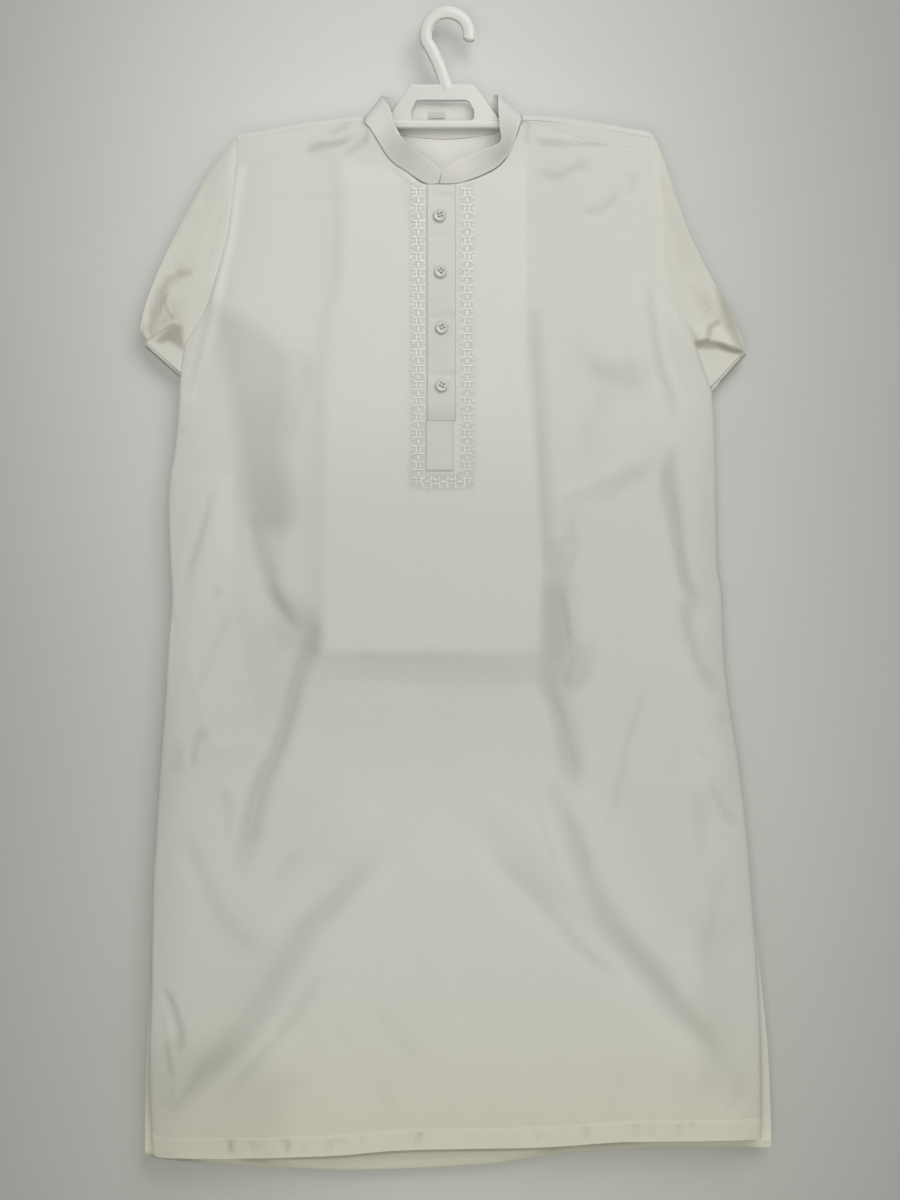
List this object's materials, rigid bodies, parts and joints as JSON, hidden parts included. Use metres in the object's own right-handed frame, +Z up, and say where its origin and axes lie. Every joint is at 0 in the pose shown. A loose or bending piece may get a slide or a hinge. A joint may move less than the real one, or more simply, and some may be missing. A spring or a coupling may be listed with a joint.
{
  "type": "shalwar kameez on a hanger",
  "caption": "Long white cotton shirt with a band collar and half placket, on a plastic hanger with its trousers folded over the rail inside.",
  "frame": {"origin": "inner top of the hanger's hook, where the hook hangs on its support", "axes": "+X to the right as the front is seen, +Y from the front to the back, +Z up"},
  "size_m": [0.6691, 0.04, 1.23],
  "materials": {
    "cotton": "pressed plain-weave cotton blend, off-white",
    "pearl_button": "polished polyester with a pearl cast",
    "label_satin": "woven satin, blank",
    "hanger_plastic": "moulded polypropylene, white"
  },
  "bodies": {
    "root": {"front_panel": "cotton", "back_panel": "cotton", "shoulder_yoke": "cotton", "sleeve_left": "cotton", "sleeve_right": "cotton", "forearm_left": "cotton", "forearm_right": "cotton", "collar_band": "cotton", "placket": "cotton", "placket_end": "cotton", "button_1": "pearl_button", "button_2": "pearl_button", "button_3": "pearl_button", "button_4": "pearl_button", "side_pocket_bag": "cotton", "neck_label": "label_satin", "shalwar": "cotton", "hanger": "hanger_plastic"}
  },
  "joints": []
}
